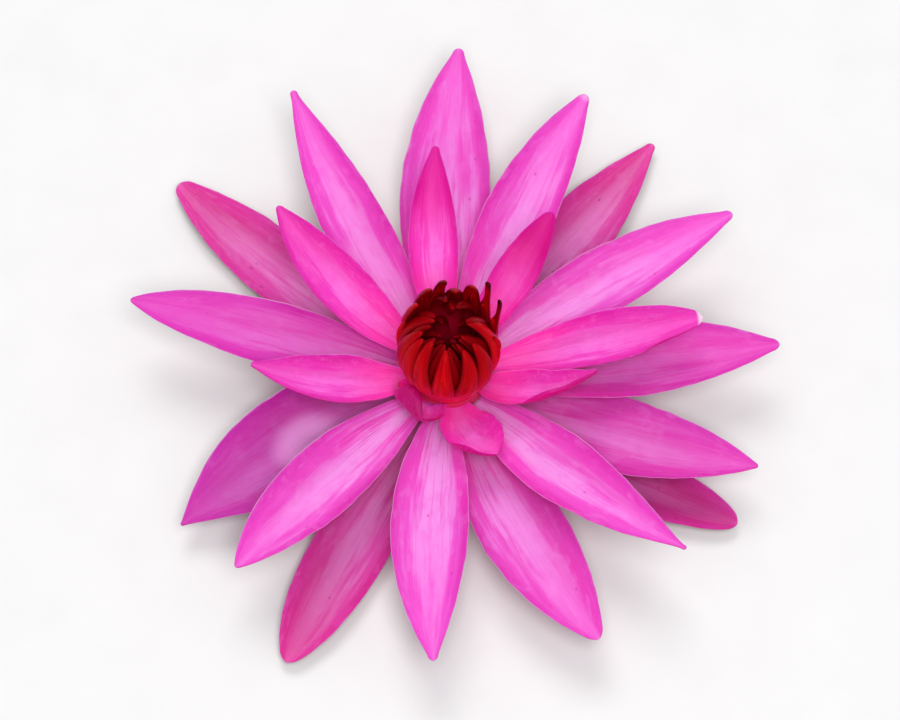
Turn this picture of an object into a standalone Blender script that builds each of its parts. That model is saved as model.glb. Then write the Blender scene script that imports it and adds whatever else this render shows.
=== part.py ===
"""Flower head of a red tropical water lily, cut flush under its receptacle.

The head lies face up. Its origin is the centre of the flat cut at the end of
the stalk, +Z is the flower's own axis, and +X and +Y lie in the cut's plane.
Four sepals and twenty petals sit in rising whorls round a drum-shaped
receptacle. A barrel of strap stamens stands on top of it, round the stigma.
"""

import math
import random

import bmesh
import bpy

# ---------------------------------------------------------------- dimensions
MM = 0.001                       # the tables below are in millimetres
GAP = 0.3                        # clearance between pieces that touch

# Receptacle: the drum that carries every whorl, down to the cut stalk
CUT_RADIUS = 5.0
DRUM_RADIUS = 9.9
DRUM_SHOULDER = 2.6              # height where the drum reaches its full radius
DRUM_TOP = 14.7
DRUM_FACETS = 48                 # round the drum and the collar

# Blades: sepals and petals
BLADE_THICKNESS = 0.8
BLADE_ROWS = 14                  # faces along a blade
BLADE_COLUMNS = 6                # faces across a blade
SEAT_RADIUS = DRUM_RADIUS + GAP + 0.15
ROOT_WIDTH_SHARE = 0.28          # width of a blade's root over its full width
ROOT_ZONE = 0.25                 # share of the length where the root widens
ROOT_FOLLOW = 0.15               # share of the length that follows the drum
TIP_HALF_WIDTH = 0.25
OUTLINE_START = 0.03             # keeps the outline open at the root
PATH_STEPS = 200                 # steps used to walk along a blade's midrib

# Stamens: a collar with whorls of incurved straps
COLLAR_BOTTOM = DRUM_TOP + GAP
COLLAR_TOP = 17.0
COLLAR_INNER = 6.0
COLLAR_OUTER = 9.8
STRAP_THICKNESS = 0.8
STRAP_ROWS = 8
STRAP_ROOT_NARROWING = 0.3       # share of the width lost at the root
STRAP_TIP_NARROWING = 0.75       # share of the width lost at the tip
STRAP_ROOT_DEPTH = 1.2           # how far a strap runs down into the collar
BARREL_TOP = 46.0                # tips of the tallest straps, at the back
FRONT_DROP = 9.0                 # how much lower the front straps end
MOUTH_LEAN = 2.2                 # the mouth opens towards the back by this much
TIP_SCATTER = 1.5
STRAP_WHORLS = (
    # straps, root radius, belly pull, mouth radius, height share, width
    (16, 8.8, 16.8, 7.0, 1.00, 5.3),
    (13, 7.6, 14.2, 5.6, 0.92, 4.2),
    (9, 6.5, 10.8, 4.2, 0.80, 3.4),
)
OPEN_STRAPS = {1: 13.2, 2: 13.2}  # outer straps that stand open: mouth radius
STRAP_SEED = 7

# Stigma: a shallow rayed cup ringed by incurved styles
STIGMA_RADIUS = 5.4
STIGMA_RIM_TOP = 17.6
STIGMA_DISH = 1.6                # depth of the dish below its rim
STIGMA_KNOB_RADIUS = 1.1
STYLE_COUNT = 14
STYLE_HEIGHT = 5.0
STYLE_RADIUS = 0.65

# Each blade: name, seat height, tip azimuth in degrees, tip reach, tip height,
# width, bend (degrees, negative curls upward), sweep (degrees, sideways),
# taper (power of the outline towards the tip). Lengths are in millimetres.
SEPALS = (
    ("sepal_1", 3.6, 52.0, 86.5, 3.0, 20.4, -12, 0, 0.88),
    ("sepal_2", 3.6, 141.0, 90.0, 3.0, 19.5, -12, -9, 0.70),
    ("sepal_3", 3.6, -118.5, 83.5, 3.0, 20.2, -12, 2, 0.60),
    ("sepal_4", 3.6, -27.3, 81.0, 3.0, 16.6, -12, 8, 0.56),
)
PETALS = (
    # outer whorl
    ("petal_01", 6.2, 88.2, 90.0, 15.0, 24.3, -6, -11, 0.88),
    ("petal_02", 5.4, -18.7, 81.0, 14.0, 21.5, -6, 11, 0.85),
    ("petal_03", 6.6, -62.7, 80.0, 14.0, 22.8, -4, 16, 0.74),
    ("petal_04", 6.4, -149.3, 77.0, 8.0, 30.5, -8, 20, 1.00),
    ("petal_05", 8.4, 3.7, 83.0, 17.5, 21.6, -6, 2, 0.84),
    # middle whorl
    ("petal_06", 9.8, 64.4, 82.0, 20.0, 19.0, -8, -10, 0.82),
    ("petal_07", 10.4, 28.5, 81.5, 23.0, 19.0, -8, -6, 0.85),
    ("petal_08", 9.8, 118.3, 84.2, 22.0, 17.4, -8, -12, 0.98),
    ("petal_09", 9.8, 168.9, 81.0, 22.0, 18.1, -8, 0, 0.76),
    ("petal_10", 9.4, -133.4, 75.3, 20.0, 20.0, -8, 7, 0.76),
    ("petal_11", 10.2, -92.6, 78.7, 20.0, 20.5, -8, 14, 0.88),
    ("petal_12", 9.8, -42.1, 77.6, 26.0, 19.2, -6, 12, 1.10),
    # inner whorl, shorter and steeper
    ("petal_13", 12.8, 8.0, 63.8, 26.0, 15.2, -12, -2, 0.65),
    ("petal_14", 12.6, 54.7, 45.2, 28.0, 12.2, -12, 5, 0.74),
    ("petal_15", 12.6, 93.3, 53.5, 32.0, 13.5, -15, -15, 0.86),
    ("petal_16", 12.6, 137.3, 58.4, 26.0, 15.3, -12, -22, 0.82),
    ("petal_17", 12.6, -177.0, 49.0, 24.0, 14.3, -14, -25, 0.97),
    # three small petals that fold over at the front of the flower
    ("petal_18", 13.4, -8.0, 37.0, 26.0, 12.5, -20, 48, 0.90),
    ("petal_19", 12.6, -63.5, 27.4, 18.5, 14.5, -12, 48, 0.45),
    ("petal_20", 12.8, -127.0, 21.0, 20.0, 15.0, -40, 36, 0.50),
)

# How far the margins stand up, in degrees, at the root, the middle and the tip
CUP_SEPAL = (45, 30, 40)
CUP_OUTER = (45, 27, 40)
CUP_MIDDLE = (45, 30, 40)
CUP_INNER = (45, 42, 50)

# Blades that differ from their whorl: cup, root share, swell (power of the
# outline towards the root), roll and twist in degrees, lopsided cup
SPECIAL = {
    "petal_01": {"cup": (45, 24, 40)},
    "petal_13": {"cup": (45, 38, 50)},
    "petal_15": {"cup": (45, 35, 50)},
    "petal_18": {"cup": (45, 50, 60), "swell": 0.6, "twist": -45},
    "petal_19": {"cup": (35, 40, 55), "swell": 0.6, "twist": -25, "root": 0.45},
    "petal_20": {"cup": (40, 85, 80), "swell": 0.6, "twist": -50, "roll": -5, "lopsided": -0.2},
}
SWELL = 0.8

# Colours, roughness
SEPAL_LOOK = ((0.62, 0.06, 0.22), 0.5)
OUTER_LOOK = ((0.90, 0.22, 0.60), 0.45)
MIDDLE_LOOK = ((0.88, 0.16, 0.55), 0.45)
INNER_LOOK = ((0.80, 0.04, 0.36), 0.45)
STAMEN_LOOK = ((0.45, 0.005, 0.02), 0.4)
STIGMA_LOOK = ((0.35, 0.01, 0.02), 0.5)
RECEPTACLE_LOOK = ((0.45, 0.16, 0.16), 0.6)


# ------------------------------------------------------------------- helpers
def clear_scene():
    for obj in list(bpy.data.objects):
        bpy.data.objects.remove(obj, do_unlink=True)


def new_collection(name):
    collection = bpy.data.collections.new(name)
    bpy.context.scene.collection.children.link(collection)
    return collection


def make_material(name, look):
    colour, roughness = look
    material = bpy.data.materials.new(name)
    material.use_nodes = True
    shader = material.node_tree.nodes["Principled BSDF"]
    shader.inputs["Base Color"].default_value = (*colour, 1.0)
    shader.inputs["Roughness"].default_value = roughness
    shader.inputs["Metallic"].default_value = 0.0
    material.diffuse_color = (*colour, 1.0)
    return material


def object_from_bmesh(name, bm, collection):
    mesh = bpy.data.meshes.new(name)
    bm.to_mesh(mesh)
    bm.free()
    mesh.shade_smooth()
    obj = bpy.data.objects.new(name, mesh)
    collection.objects.link(obj)
    return obj


def add_thickness(obj, thickness):
    """Turn an open surface into a plate that grows below its upper face."""
    solidify = obj.modifiers.new("Thickness", "SOLIDIFY")
    solidify.thickness = thickness * MM
    solidify.offset = -1.0
    solidify.use_even_offset = False


def blend(values, share):
    """Value at the root, the middle and the tip, eased between them."""
    root, middle, tip = values
    if share < 0.5:
        return root + (middle - root) * share / 0.5
    return middle + (tip - middle) * ((share - 0.5) / 0.5) ** 1.5


# -------------------------------------------------------------------- blades
def outline(share, swell, taper, root):
    """Half width of a blade over its greatest half width, root to tip."""
    peak = (swell - taper * OUTLINE_START) / (swell + taper)
    height = (peak + OUTLINE_START) ** swell * (1 - peak) ** taper
    width = (share + OUTLINE_START) ** swell * (1 - share) ** taper / height
    near_root = max(0.0, 1 - share / ROOT_ZONE) ** 2
    return width * (1 - near_root) + max(width, root) * near_root


def blade_course(seat_height, azimuth, reach, tip_height, bend, sweep):
    """Heading, rise and length of the arc that ends at the named tip."""
    half_sweep = math.radians(sweep) / 2
    turn = math.cos(half_sweep)
    chord = -SEAT_RADIUS * turn + math.sqrt(reach ** 2 - (SEAT_RADIUS * math.sin(half_sweep)) ** 2)
    drift = math.atan2(chord * math.sin(half_sweep), SEAT_RADIUS + chord * turn)
    heading = math.radians(azimuth) - drift
    climb = math.atan2(tip_height - seat_height, chord)
    half_bend = math.radians(bend) / 2
    length = math.hypot(chord, tip_height - seat_height)
    for half in (half_bend, half_sweep):
        if half:
            length *= half / math.sin(half)
    return heading, climb + half_bend, length


def walk_midrib(rise, length, bend, sweep):
    """Points and headings along the midrib, which starts at its own origin."""
    points = [(0.0, 0.0, 0.0)]
    step = length / PATH_STEPS
    for index in range(PATH_STEPS):
        share = (index + 0.5) / PATH_STEPS
        slope = rise - math.radians(bend) * share
        yaw = math.radians(sweep) * share
        x, y, z = points[-1]
        x += step * math.cos(yaw) * math.cos(slope)
        y += step * math.sin(yaw) * math.cos(slope)
        z += step * math.sin(slope)
        points.append((x, y, z))
    return points


def shape_blade(bm, course, width, bend, sweep, taper, cup, special):
    """Move the vertices of a flat grid onto a cupped, curved blade."""
    _, rise, length = course
    midrib = walk_midrib(rise, length, bend, sweep)
    swell = special.get("swell", SWELL)
    root = special.get("root", ROOT_WIDTH_SHARE)
    for vert in bm.verts:
        share = (vert.co.x + 1) / 2
        side = vert.co.y
        x, y, z = midrib[round(share * PATH_STEPS)]
        slope = rise - math.radians(bend) * share
        yaw = math.radians(sweep) * share
        roll = math.radians(special.get("roll", 0) + special.get("twist", 0) * share)

        # across and up, square to the midrib
        across = (-math.sin(yaw), math.cos(yaw), 0.0)
        up = (-math.cos(yaw) * math.sin(slope), -math.sin(yaw) * math.sin(slope), math.cos(slope))
        half = max(width / 2 * outline(share, swell, taper, root), TIP_HALF_WIDTH)
        lean = math.radians(blend(cup, share))
        lean *= 1 + special.get("lopsided", 0) * math.copysign(1, side)
        sideways = half * math.sin(lean * side) / lean
        upward = half * (1 - math.cos(lean * side)) / lean
        out = sideways * math.cos(roll) - upward * math.sin(roll)
        lift = sideways * math.sin(roll) + upward * math.cos(roll)
        x += across[0] * out + up[0] * lift
        y += across[1] * out + up[1] * lift
        z += up[2] * lift

        # the root follows the drum's wall
        follow = max(0.0, 1 - share / ROOT_FOLLOW)
        near = min(abs(y), 0.95 * SEAT_RADIUS)
        x -= follow * (SEAT_RADIUS - math.sqrt(SEAT_RADIUS ** 2 - near ** 2))
        vert.co = (x * MM, y * MM, z * MM)


def make_blade(row, cup, look, collection):
    name, seat_height, azimuth, reach, tip_height, width, bend, sweep, taper = row
    special = SPECIAL.get(name, {})
    course = blade_course(seat_height, azimuth, reach, tip_height, bend, sweep)
    bm = bmesh.new()
    bmesh.ops.create_grid(bm, x_segments=BLADE_ROWS, y_segments=BLADE_COLUMNS, size=1.0)
    shape_blade(bm, course, width, bend, sweep, taper, special.get("cup", cup), special)
    bmesh.ops.triangulate(bm, faces=bm.faces)
    blade = object_from_bmesh(name, bm, collection)
    heading = course[0]
    blade.location = (
        SEAT_RADIUS * math.cos(heading) * MM,
        SEAT_RADIUS * math.sin(heading) * MM,
        seat_height * MM,
    )
    blade.rotation_euler = (0.0, 0.0, heading)
    add_thickness(blade, BLADE_THICKNESS)
    blade.data.materials.append(make_material(name, look))
    return blade


def make_sepals(collection):
    for row in SEPALS:
        make_blade(row, CUP_SEPAL, SEPAL_LOOK, collection)


def make_petals(collection):
    whorls = ((5, CUP_OUTER, OUTER_LOOK), (7, CUP_MIDDLE, MIDDLE_LOOK), (8, CUP_INNER, INNER_LOOK))
    first = 0
    for count, cup, look in whorls:
        for row in PETALS[first:first + count]:
            make_blade(row, cup, look, collection)
        first += count


# ---------------------------------------------------------- turned and fused
def turned(name, profile, facets, collection):
    """Spin a profile of (radius, height) points, top to bottom, round +Z."""
    bm = bmesh.new()
    verts = [bm.verts.new((radius * MM, 0.0, height * MM)) for radius, height in profile]
    for first, second in zip(verts, verts[1:]):
        bm.edges.new((first, second))
    obj = object_from_bmesh(name, bm, collection)
    screw = obj.modifiers.new("Turn", "SCREW")
    screw.steps = facets
    screw.render_steps = facets
    screw.use_merge_vertices = True
    screw.merge_threshold = 0.00001
    screw.use_smooth_shade = True
    return obj


def apply_modifiers(obj):
    graph = bpy.context.evaluated_depsgraph_get()
    mesh = bpy.data.meshes.new_from_object(obj.evaluated_get(graph))
    obj.modifiers.clear()
    obj.data = mesh


def fuse(base, pieces):
    """Join every object of the pieces' collection to the base, for good."""
    union = base.modifiers.new("Fuse", "BOOLEAN")
    union.operation = "UNION"
    union.operand_type = "COLLECTION"
    union.collection = pieces
    union.solver = "EXACT"
    apply_modifiers(base)
    for obj in list(pieces.objects):
        bpy.data.objects.remove(obj, do_unlink=True)
    bpy.data.collections.remove(pieces)


def make_receptacle(collection):
    profile = (
        (0.0, DRUM_TOP),
        (DRUM_RADIUS, DRUM_TOP),
        (DRUM_RADIUS, DRUM_SHOULDER),
        (0.9 * DRUM_RADIUS, 0.65 * DRUM_SHOULDER),
        (1.08 * CUT_RADIUS, 0.2 * DRUM_SHOULDER),
        (CUT_RADIUS, 0.0),
        (0.0, 0.0),
    )
    drum = turned("receptacle", profile, DRUM_FACETS, collection)
    drum.data.materials.append(make_material("receptacle", RECEPTACLE_LOOK))


def strap_width(share, width):
    """Width of a strap: narrower in the collar, tapering to its tip."""
    root_loss = STRAP_ROOT_NARROWING * (1 - share) ** 2
    tip_loss = STRAP_TIP_NARROWING * share ** 2.5
    return width * (1 - root_loss - tip_loss)


def make_strap(name, whorl, azimuth, mouth, top, collection):
    """One stamen: a strap that swells out and curves in over the stigma."""
    _, root_radius, belly, _, _, width = whorl
    bottom = COLLAR_TOP - STRAP_ROOT_DEPTH
    bm = bmesh.new()
    bmesh.ops.create_grid(bm, x_segments=STRAP_ROWS, y_segments=2, size=1.0)
    for vert in bm.verts:
        share = (vert.co.x + 1) / 2
        radius = root_radius * (1 - share) ** 2 + 2 * belly * share * (1 - share) + mouth * share ** 2
        around = vert.co.y * strap_width(share, width) / 2 / radius
        vert.co = (
            radius * math.cos(around) * MM,
            radius * math.sin(around) * MM,
            (bottom + (top - bottom) * share) * MM,
        )
    bmesh.ops.triangulate(bm, faces=bm.faces)
    strap = object_from_bmesh(name, bm, collection)
    strap.rotation_euler = (0.0, 0.0, azimuth)
    add_thickness(strap, STRAP_THICKNESS)
    apply_modifiers(strap)


def make_stamens(collection):
    profile = (
        (COLLAR_INNER, COLLAR_TOP),
        (COLLAR_OUTER, COLLAR_TOP),
        (COLLAR_OUTER, COLLAR_BOTTOM),
        (COLLAR_INNER, COLLAR_BOTTOM),
        (COLLAR_INNER, COLLAR_TOP),
    )
    collar = turned("stamens", profile, DRUM_FACETS, collection)
    apply_modifiers(collar)
    straps = new_collection("stamen_straps")
    draw = random.Random(STRAP_SEED)
    for ring, whorl in enumerate(STRAP_WHORLS):
        count, _, _, mouth, height_share, _ = whorl
        for index in range(count):
            azimuth = math.tau * (index + 0.5 * (ring % 2)) / count
            azimuth += math.radians(draw.uniform(-1.5, 1.5))
            back = (1 + math.sin(azimuth)) / 2
            top = (BARREL_TOP - FRONT_DROP * (1 - back)) * height_share
            top -= draw.uniform(0.0, TIP_SCATTER)
            opening = mouth + MOUTH_LEAN * math.sin(azimuth)
            if ring == 0:
                opening = OPEN_STRAPS.get(index, opening)
            make_strap(f"strap_{ring}_{index:02d}", whorl, azimuth, opening, top, straps)
    fuse(collar, straps)
    collar.data.materials.clear()
    collar.data.materials.append(make_material("stamens", STAMEN_LOOK))


def make_style(name, azimuth, collection):
    """One carpel's style: a small club that stands on the rim, curving in."""
    bm = bmesh.new()
    bmesh.ops.create_uvsphere(bm, u_segments=8, v_segments=6, radius=1.0)
    for vert in bm.verts:
        rise = (vert.co.z + 1) / 2
        lean = 1.5 * STYLE_RADIUS * rise ** 2
        vert.co.x = vert.co.x * STYLE_RADIUS * MM - lean * MM
        vert.co.y = vert.co.y * STYLE_RADIUS * MM
        vert.co.z = (rise * STYLE_HEIGHT) * MM
    style = object_from_bmesh(name, bm, collection)
    ring = STIGMA_RADIUS - 1.6 * STYLE_RADIUS
    base = STIGMA_RIM_TOP - 1.2
    style.location = (ring * math.cos(azimuth) * MM, ring * math.sin(azimuth) * MM, base * MM)
    style.rotation_euler = (0.0, 0.0, azimuth)
    return style


def make_stigma(collection):
    floor = STIGMA_RIM_TOP - STIGMA_DISH
    profile = (
        (0.0, STIGMA_RIM_TOP),
        (STIGMA_KNOB_RADIUS, STIGMA_RIM_TOP - 0.3),
        (1.4 * STIGMA_KNOB_RADIUS, floor),
        (0.6 * STIGMA_RADIUS, floor + 0.25 * STIGMA_DISH),
        (0.85 * STIGMA_RADIUS, STIGMA_RIM_TOP),
        (STIGMA_RADIUS, STIGMA_RIM_TOP - 0.4),
        (STIGMA_RADIUS, COLLAR_BOTTOM),
        (0.0, COLLAR_BOTTOM),
    )
    dish = turned("stigma", profile, 28, collection)
    apply_modifiers(dish)
    styles = new_collection("stigma_styles")
    for index in range(STYLE_COUNT):
        make_style(f"style_{index:02d}", math.tau * index / STYLE_COUNT, styles)
    fuse(dish, styles)
    dish.data.materials.clear()
    dish.data.materials.append(make_material("stigma", STIGMA_LOOK))


def main():
    clear_scene()
    flower = new_collection("water_lily_flower")
    make_receptacle(flower)
    make_sepals(flower)
    make_petals(flower)
    make_stamens(flower)
    make_stigma(flower)


main()
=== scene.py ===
"""Looks of the water lily flower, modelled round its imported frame.

Every blade is a closed, cupped sheet that follows the same course as its solid,
with finer rows, thin rounded margins, ribs and its own colours. The stamens,
the stigma and the receptacle are modelled again in the same places. Lengths are
in millimetres and angles in degrees, unless a comment says otherwise.
"""

import random
from math import atan2, copysign, cos, exp, hypot, pi, radians, sin, sqrt, tau

import bmesh
import bpy
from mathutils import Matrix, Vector, noise

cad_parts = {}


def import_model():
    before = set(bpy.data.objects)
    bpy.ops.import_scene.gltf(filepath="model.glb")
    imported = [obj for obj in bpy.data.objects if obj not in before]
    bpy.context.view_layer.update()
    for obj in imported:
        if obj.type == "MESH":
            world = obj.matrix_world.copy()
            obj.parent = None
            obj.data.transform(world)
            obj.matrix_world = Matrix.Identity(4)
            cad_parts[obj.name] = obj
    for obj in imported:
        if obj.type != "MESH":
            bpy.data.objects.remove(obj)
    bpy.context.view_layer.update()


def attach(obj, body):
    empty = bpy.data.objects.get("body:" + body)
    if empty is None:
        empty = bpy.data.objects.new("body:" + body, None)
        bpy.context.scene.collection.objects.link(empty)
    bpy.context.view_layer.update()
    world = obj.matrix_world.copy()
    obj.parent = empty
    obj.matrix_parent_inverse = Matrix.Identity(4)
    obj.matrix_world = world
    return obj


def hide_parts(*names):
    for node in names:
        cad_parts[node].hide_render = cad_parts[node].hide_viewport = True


MM = 0.001

# ---- values shared with part.py
DRUM_RADIUS = 9.9
SEAT_RADIUS = DRUM_RADIUS + 0.45  # where the midribs of the blades start
BLADE_THICKNESS = 0.8
PATH_STEPS = 400  # steps in which a midrib is walked
SWELL = 0.8  # how slowly a blade widens from its root
OUTLINE_START = 0.03  # how far up its curve of widths a blade starts
ROOT_WIDTH_SHARE = 0.28  # least half width at the root, over the greatest
ROOT_ZONE = 0.25  # share of the length in which that holds
ROOT_FOLLOW = 0.15  # share in which a blade follows the drum's wall
CUP_EASE = 1.5  # how late the cup of the tip sets in

# name, seat height, tip azimuth, tip reach, tip height, width, bend, sweep, taper
SEPALS = (
    ("sepal_1", 3.6, 52.0, 86.5, 3.0, 20.4, -12, 0, 0.88),
    ("sepal_2", 3.6, 141.0, 90.0, 3.0, 19.5, -12, -9, 0.70),
    ("sepal_3", 3.6, -118.5, 83.5, 3.0, 20.2, -12, 2, 0.60),
    ("sepal_4", 3.6, -27.3, 81.0, 3.0, 16.6, -12, 8, 0.56),
)
OUTER_PETALS = (
    ("petal_01", 6.2, 88.2, 90.0, 15.0, 24.3, -6, -11, 0.88),
    ("petal_02", 5.4, -18.7, 81.0, 14.0, 21.5, -6, 11, 0.85),
    ("petal_03", 6.6, -62.7, 80.0, 14.0, 22.8, -4, 16, 0.74),
    ("petal_04", 6.4, -149.3, 77.0, 8.0, 30.5, -8, 20, 1.00),
    ("petal_05", 8.4, 3.7, 83.0, 17.5, 21.6, -6, 2, 0.84),
)
MIDDLE_PETALS = (
    ("petal_06", 9.8, 64.4, 82.0, 20.0, 19.0, -8, -10, 0.82),
    ("petal_07", 10.4, 28.5, 81.5, 23.0, 19.0, -8, -6, 0.85),
    ("petal_08", 9.8, 118.3, 84.2, 22.0, 17.4, -8, -12, 0.98),
    ("petal_09", 9.8, 168.9, 81.0, 22.0, 18.1, -8, 0, 0.76),
    ("petal_10", 9.4, -133.4, 75.3, 20.0, 20.0, -8, 7, 0.76),
    ("petal_11", 10.2, -92.6, 78.7, 20.0, 20.5, -8, 14, 0.88),
    ("petal_12", 9.8, -42.1, 77.6, 26.0, 19.2, -6, 12, 1.10),
)
INNER_PETALS = (
    ("petal_13", 12.8, 8.0, 63.8, 26.0, 15.2, -12, -2, 0.65),
    ("petal_14", 12.6, 54.7, 45.2, 28.0, 12.2, -12, 5, 0.74),
    ("petal_15", 12.6, 93.3, 53.5, 32.0, 13.5, -15, -15, 0.86),
    ("petal_16", 12.6, 137.3, 58.4, 26.0, 15.3, -12, -22, 0.82),
    ("petal_17", 12.6, -177.0, 49.0, 24.0, 14.3, -14, -25, 0.97),
    ("petal_18", 13.4, -8.0, 37.0, 26.0, 12.5, -20, 48, 0.90),
    ("petal_19", 12.6, -63.5, 27.4, 18.5, 14.5, -12, 48, 0.45),
    ("petal_20", 12.8, -127.0, 21.0, 20.0, 15.0, -40, 36, 0.50),
)
# Lean of a blade's sides at its root, middle and tip
CUP_SEPAL = (45, 30, 40)
CUP_OUTER = (45, 27, 40)
CUP_MIDDLE = (45, 30, 40)
CUP_INNER = (45, 42, 50)
SPECIAL = {
    "petal_01": {"cup": (45, 24, 40)},
    "petal_13": {"cup": (45, 38, 50)},
    "petal_15": {"cup": (45, 35, 50)},
    "petal_18": {"cup": (45, 50, 60), "swell": 0.6, "twist": -45},
    "petal_19": {"cup": (35, 40, 55), "swell": 0.6, "twist": -25, "root": 0.45},
    "petal_20": {"cup": (40, 85, 80), "swell": 0.6, "twist": -50, "roll": -5, "lopsided": -0.2},
}

DRUM_TOP = 14.7
DRUM_SHOULDER = 2.6
CUT_RADIUS = 5.0

COLLAR_TOP = 17.0
COLLAR_INNER = 6.0
COLLAR_OUTER = 9.8
STRAP_THICKNESS = 0.8
STRAP_ROOT_NARROWING = 0.3
STRAP_FOOT = COLLAR_TOP - 1.2  # height at which the straps start
BARREL_TOP = 46.0
FRONT_DROP = 9.0  # how much lower the barrel is at the front
MOUTH_LEAN = 2.2
TIP_SCATTER = 1.5
STRAP_WHORLS = (
    # straps, root radius, belly pull, mouth radius, height share, width
    (16, 8.8, 16.8, 7.0, 1.00, 5.3),
    (13, 7.6, 14.2, 5.6, 0.92, 4.2),
    (9, 6.5, 10.8, 4.2, 0.80, 3.4),
)
STRAP_SEED = 7

STIGMA_RADIUS = 5.4
STIGMA_RIM_TOP = 17.6
STIGMA_DISH = 1.6
STYLE_COUNT = 14
STYLE_HEIGHT = 5.0
STYLE_RADIUS = 0.65

# ---- blades, finer than part.py
BLADE_ROWS = 84
HALF_COLUMNS = 18  # from a blade's midrib to its margin
ROW_CROWDING = 0.95  # how much the rows crowd together at the tip
COLUMN_CROWDING = 0.5  # and the columns at the margins
ROOT_REACH = 1.0  # how far a blade's root runs into the drum
WALL_LIMIT = 0.95  # part of the drum's radius that a root can follow
FOLD = 0.6  # below 1, a section is a soft V, not an arc
RIBS = ((5.3, 0.022), (8.9, 0.014), (14.0, 0.008))  # ribs over a blade, height
RIB_END = 6.0  # how steeply the ribs fade out at the tip
MARGIN_THINNESS = 0.45  # thickness of the margins, over the midrib's
TIP_THINNING = 0.4  # how much thinner the tip is than the root
MARGIN_SHARPNESS = 16  # the higher, the tighter a margin is rounded
WAVE_HEIGHT = 0.3  # waving of a blade's margins
WAVES = 2.6  # waves along a margin
SWELLING = 0.55  # slow rise and fall of a blade's face
SWELLS = (5.0, 1.3)  # how often it changes along and across
RAGGED = 0.03  # unevenness of the margins, over the half width
RAGS = (16.0, 2.0)  # how often it changes, and left against right
LADLE_PLACE = 0.4  # share of the length where a ladle is deepest
LADLE_REACH = (0.16, 0.5)  # its reach along and across
TIP_ROUND = 0.9  # usual radius of a blade's tip
TIP_GAP = 0.005  # keeps the end from closing to a point
TIP_BLUNTNESS = 0.3
MARGIN_CURL = 14.0  # angle by which the margins turn in
CURL_START = 0.5  # share of the half width where that sets in
CURL_EASE = 0.8  # below 1, a curl is strongest before its middle
VEER_ZONE = 0.35  # share of the length in which a blade veers
DETAIL_SEED = 11
BLADE_SEED_STEP = 3.7  # from one blade's noise to the next

# What the finer blades have of their own:
#   tip: radius of the tip
#   curl, stretch: angle by which the right margin turns in, and where
#   roll, turn: roll by the tip, turn of the whole blade
#   veer: turn to the side near the root
#   length, width: over the solid's
#   ladle: depth of the hollow in its middle, which also gets a painted highlight
#   pale: how strong the painted highlight on the very tip is
#   tone, shade, dusk: how deep, how grey, and how deep in its far half
FINISH = {
    "sepal_1": {"tip": 1.2},
    "sepal_2": {"tip": 2.4, "tone": 0.1},
    "sepal_3": {"tip": 1.6, "tone": 0.1, "shade": 0.15},
    "sepal_4": {"tip": 1.5, "tone": 0.45, "shade": 0.6},
    "petal_01": {"tip": 1.4},
    "petal_02": {"tip": 0.6, "tone": 0.3, "shade": 0.2},
    "petal_03": {"tip": 2.0},
    "petal_04": {
        "tip": 0.5, "curl": 30, "stretch": (0.1, 0.8), "ladle": 1.6, "tone": 0.4, "shade": 1.0,
    },
    "petal_05": {"tip": 1.5, "tone": 0.4, "shade": 0.2},
    "petal_06": {"tip": 1.6, "pale": 0.3},
    "petal_07": {"tip": 1.4},
    "petal_08": {"tip": 1.0, "tone": 0.1},
    "petal_09": {"tip": 0.7, "tone": 0.45, "shade": 0.5},
    "petal_10": {"tip": 0.6},
    "petal_11": {"tip": 1.2},
    "petal_12": {"tip": 0.55},
    "petal_13": {"tip": 1.8, "curl": 50, "stretch": (0.72, 0.97), "pale": 1.0},
    "petal_14": {"tip": 1.7, "tone": 0.5, "dusk": 1.0},
    "petal_15": {"tip": 1.0, "dusk": 0.95},
    "petal_16": {"dusk": 0.25},
    "petal_18": {"curl": 80, "stretch": (0.40, 1.0)},
    "petal_19": {"tip": 1.4, "curl": 55, "stretch": (0.55, 1.0), "width": 1.1},
    "petal_20": {
        "tip": 1.6, "curl": 90, "stretch": (0.06, 1.5), "roll": -16, "turn": -8, "veer": 60,
        "length": 1.04, "width": 1.2,
    },
}
SKIN_MARKS = ("pale", "tone", "shade", "dusk", "ladle")  # those for the skins


# ---- general helpers
def lerp(first, second, share):
    return first + (second - first) * share


def smooth_step(value, start=0.0, end=1.0):
    inside = min(1.0, max(0.0, (value - start) / (end - start)))
    return inside * inside * (3 - 2 * inside)


def blend(values, share):
    """Value at the root, the middle and the tip, eased between them."""
    root, middle, tip = values
    if share < 0.5:
        return lerp(root, middle, share / 0.5)
    return lerp(middle, tip, ((share - 0.5) / 0.5) ** CUP_EASE)


def crowded(count, crowding):
    """Shares 0 to 1 that crowd together towards 1."""
    shares = []
    for index in range(count + 1):
        even = index / count
        shares.append(lerp(even, sin(even * pi / 2), crowding))
    return shares


def circle(radius, height, facets, along):
    """Ring round the upright axis, of points and their surface coordinates."""
    ring = []
    for step in range(facets):
        around = tau * step / facets
        point = (radius * cos(around), radius * sin(around), height)
        ring.append((point, (along, step / facets)))
    return ring


def add_object(name, data):
    obj = bpy.data.objects.new(name, data)
    bpy.context.scene.collection.objects.link(obj)
    return obj


def add_mesh(name, bm):
    mesh = bpy.data.meshes.new(name)
    bm.to_mesh(mesh)
    bm.free()
    return add_object(name, mesh)


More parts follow.
